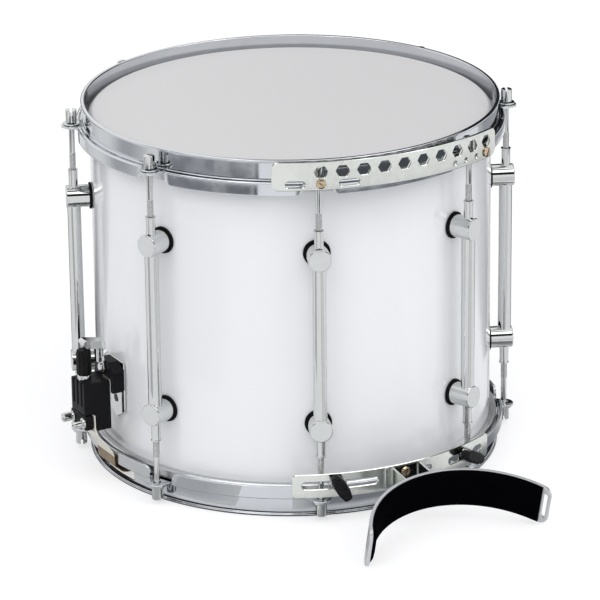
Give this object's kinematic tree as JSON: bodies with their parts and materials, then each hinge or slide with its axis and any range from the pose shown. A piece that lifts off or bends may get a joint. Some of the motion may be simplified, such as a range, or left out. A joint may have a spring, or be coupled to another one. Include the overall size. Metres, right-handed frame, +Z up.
{
  "type": "marching snare drum",
  "caption": "Deep marching snare drum with tube lugs, carrier plate, throw-off strainer, gut snares and a hinged padded leg rest.",
  "frame": {"origin": "centre of the batter head's upper face", "axes": "+Z up out of the batter head along the drum's axis; -Y towards the carrier plate and leg rest; -X towards the throw-off strainer"},
  "size_m": [0.4427, 0.4859, 0.3326],
  "materials": {
    "shell_white": "white gloss wrap over a wooden shell",
    "batter_film": "satin off-white film",
    "snare_film": "hazy thin film",
    "hoop_aluminium": "plain rolled",
    "chrome": "bright chrome plate",
    "screw_brass": "pale warm plated",
    "strainer_black": "satin black",
    "knob_black": "fluted black",
    "strap_ivory": "thin ivory strip",
    "snare_gut": "tan strands",
    "rest_aluminium": "satin edge",
    "pad_foam": "matt black foam",
    "wing_black": "satin black"
  },
  "bodies": {
    "drum": {"shell": "shell_white", "vent_grommet": "chrome", "batter_head": "batter_film", "snare_head": "snare_film", "batter_flesh_hoop": "hoop_aluminium", "snare_flesh_hoop": "hoop_aluminium", "batter_hoop": "chrome", "snare_hoop": "chrome", "lug_1": "chrome", "lug_2": "chrome", "lug_3": "chrome", "lug_4": "chrome", "lug_5": "chrome", "lug_6": "chrome", "lug_7": "chrome", "lug_8": "chrome", "carrier_plate": "chrome", "carrier_bracket_left": "chrome", "carrier_bracket_right": "chrome", "strainer_backplate": "chrome", "strainer_base": "strainer_black", "butt_plate": "chrome", "butt_clamp": "chrome", "butt_strap": "strap_ivory", "bracket_hook_left": "chrome", "bracket_hook_right": "chrome"},
    "batter_rod_1_body": {"batter_rod_1": "chrome"},
    "snare_rod_1_body": {"snare_rod_1": "chrome"},
    "batter_rod_2_body": {"batter_rod_2": "chrome"},
    "snare_rod_2_body": {"snare_rod_2": "chrome"},
    "batter_rod_3_body": {"batter_rod_3": "chrome"},
    "snare_rod_3_body": {"snare_rod_3": "chrome"},
    "batter_rod_4_body": {"batter_rod_4": "chrome"},
    "snare_rod_4_body": {"snare_rod_4": "chrome"},
    "batter_rod_5_body": {"batter_rod_5": "chrome"},
    "snare_rod_5_body": {"snare_rod_5": "chrome"},
    "batter_rod_6_body": {"batter_rod_6": "chrome"},
    "snare_rod_6_body": {"snare_rod_6": "chrome"},
    "batter_rod_7_body": {"batter_rod_7": "chrome"},
    "snare_rod_7_body": {"snare_rod_7": "chrome"},
    "batter_rod_8_body": {"batter_rod_8": "chrome"},
    "snare_rod_8_body": {"snare_rod_8": "chrome"},
    "lever": {"throw_off_lever": "chrome"},
    "snares": {"strainer_slider": "strainer_black", "strainer_clamp": "strainer_black", "strainer_strap": "strap_ivory", "snare_wires": "snare_gut"},
    "knob": {"tension_knob": "knob_black"},
    "strainer_screw_left_body": {"strainer_screw_left": "chrome"},
    "butt_screw_left_body": {"butt_screw_left": "chrome"},
    "strainer_screw_right_body": {"strainer_screw_right": "chrome"},
    "butt_screw_right_body": {"butt_screw_right": "chrome"},
    "carrier_screw_left_body": {"carrier_screw_left": "screw_brass"},
    "carrier_screw_right_body": {"carrier_screw_right": "screw_brass"},
    "wing_screw_left_body": {"wing_screw_left": "wing_black"},
    "wing_screw_right_body": {"wing_screw_right": "wing_black"},
    "rest_bracket": {"leg_rest_bracket": "chrome", "leg_rest_bolt": "chrome"},
    "leg_rest": {"leg_rest_plate": "rest_aluminium", "leg_rest_pad": "pad_foam"}
  },
  "joints": [
    {"name": "batter_rod_1_turn", "type": "hinge", "parent": "drum", "child": "batter_rod_1_body", "pos_m": [-0.17914, 0.0742, 0], "axis": [0, 0, 1], "continuous": true},
    {"name": "snare_rod_1_turn", "type": "hinge", "parent": "drum", "child": "snare_rod_1_body", "pos_m": [-0.17914, 0.0742, -0.306], "axis": [0, 0, 1], "continuous": true},
    {"name": "batter_rod_2_turn", "type": "hinge", "parent": "drum", "child": "batter_rod_2_body", "pos_m": [-0.17914, -0.0742, 0], "axis": [0, 0, 1], "continuous": true},
    {"name": "snare_rod_2_turn", "type": "hinge", "parent": "drum", "child": "snare_rod_2_body", "pos_m": [-0.17914, -0.0742, -0.306], "axis": [0, 0, 1], "continuous": true},
    {"name": "batter_rod_3_turn", "type": "hinge", "parent": "drum", "child": "batter_rod_3_body", "pos_m": [-0.0742, -0.17914, 0], "axis": [0, 0, 1], "continuous": true},
    {"name": "snare_rod_3_turn", "type": "hinge", "parent": "drum", "child": "snare_rod_3_body", "pos_m": [-0.0742, -0.17914, -0.306], "axis": [0, 0, 1], "continuous": true},
    {"name": "batter_rod_4_turn", "type": "hinge", "parent": "drum", "child": "batter_rod_4_body", "pos_m": [0.0742, -0.17914, 0], "axis": [0, 0, 1], "continuous": true},
    {"name": "snare_rod_4_turn", "type": "hinge", "parent": "drum", "child": "snare_rod_4_body", "pos_m": [0.0742, -0.17914, -0.306], "axis": [0, 0, 1], "continuous": true},
    {"name": "batter_rod_5_turn", "type": "hinge", "parent": "drum", "child": "batter_rod_5_body", "pos_m": [0.17914, -0.0742, 0], "axis": [0, 0, 1], "continuous": true},
    {"name": "snare_rod_5_turn", "type": "hinge", "parent": "drum", "child": "snare_rod_5_body", "pos_m": [0.17914, -0.0742, -0.306], "axis": [0, 0, 1], "continuous": true},
    {"name": "batter_rod_6_turn", "type": "hinge", "parent": "drum", "child": "batter_rod_6_body", "pos_m": [0.17914, 0.0742, 0], "axis": [0, 0, 1], "continuous": true},
    {"name": "snare_rod_6_turn", "type": "hinge", "parent": "drum", "child": "snare_rod_6_body", "pos_m": [0.17914, 0.0742, -0.306], "axis": [0, 0, 1], "continuous": true},
    {"name": "batter_rod_7_turn", "type": "hinge", "parent": "drum", "child": "batter_rod_7_body", "pos_m": [0.0742, 0.17914, 0], "axis": [0, 0, 1], "continuous": true},
    {"name": "snare_rod_7_turn", "type": "hinge", "parent": "drum", "child": "snare_rod_7_body", "pos_m": [0.0742, 0.17914, -0.306], "axis": [0, 0, 1], "continuous": true},
    {"name": "batter_rod_8_turn", "type": "hinge", "parent": "drum", "child": "batter_rod_8_body", "pos_m": [-0.0742, 0.17914, 0], "axis": [0, 0, 1], "continuous": true},
    {"name": "snare_rod_8_turn", "type": "hinge", "parent": "drum", "child": "snare_rod_8_body", "pos_m": [-0.0742, 0.17914, -0.306], "axis": [0, 0, 1], "continuous": true},
    {"name": "throw_off", "type": "hinge", "parent": "drum", "child": "lever", "pos_m": [-0.19, 0, -0.21], "axis": [-1, 0, 0], "range_deg": [0, 88]},
    {"name": "snare_release", "type": "hinge", "parent": "drum", "child": "snares", "pos_m": [0.172, 0, -0.3075], "axis": [0, 1, 0], "range_deg": [-0.4, 0]},
    {"name": "knob_turn", "type": "hinge", "parent": "snares", "child": "knob", "pos_m": [-0.2106, 0, -0.201], "axis": [0, 0, 1], "continuous": true},
    {"name": "strainer_screw_left_turn", "type": "hinge", "parent": "snares", "child": "strainer_screw_left_body", "pos_m": [-0.22, 0.0102, -0.25475], "axis": [-1, 0, 0], "continuous": true},
    {"name": "butt_screw_left_turn", "type": "hinge", "parent": "drum", "child": "butt_screw_left_body", "pos_m": [0.2, -0.0102, -0.25925], "axis": [1, 0, 0], "continuous": true},
    {"name": "strainer_screw_right_turn", "type": "hinge", "parent": "snares", "child": "strainer_screw_right_body", "pos_m": [-0.22, -0.0102, -0.25475], "axis": [-1, 0, 0], "continuous": true},
    {"name": "butt_screw_right_turn", "type": "hinge", "parent": "drum", "child": "butt_screw_right_body", "pos_m": [0.2, 0.0102, -0.25925], "axis": [1, 0, 0], "continuous": true},
    {"name": "carrier_screw_left_turn", "type": "hinge", "parent": "drum", "child": "carrier_screw_left_body", "pos_m": [-0.08036, -0.19401, -0.0025], "axis": [-0.3827, -0.9239, 0], "continuous": true},
    {"name": "carrier_screw_right_turn", "type": "hinge", "parent": "drum", "child": "carrier_screw_right_body", "pos_m": [0.08036, -0.19401, -0.0025], "axis": [0.3827, -0.9239, 0], "continuous": true},
    {"name": "wing_screw_left_turn", "type": "hinge", "parent": "drum", "child": "wing_screw_left_body", "pos_m": [-0.06437, -0.19463, -0.2795], "axis": [-0.314, -0.9494, 0], "continuous": true},
    {"name": "wing_screw_right_turn", "type": "hinge", "parent": "drum", "child": "wing_screw_right_body", "pos_m": [0.06437, -0.19463, -0.2795], "axis": [0.314, -0.9494, 0], "continuous": true},
    {"name": "bracket_shift", "type": "hinge", "parent": "drum", "child": "rest_bracket", "pos_m": [0, 0, -0.28], "axis": [0, 0, 1], "range_deg": [-4.5, 4.5]},
    {"name": "leg_rest_tilt", "type": "hinge", "parent": "rest_bracket", "child": "leg_rest", "pos_m": [-0.0035, -0.226, -0.2785], "axis": [-1, 0, 0], "range_deg": [0, 95]}
  ],
  "couplings": [
    {"joint": "snare_release", "follows": "throw_off", "ratio": -0.004205}
  ]
}
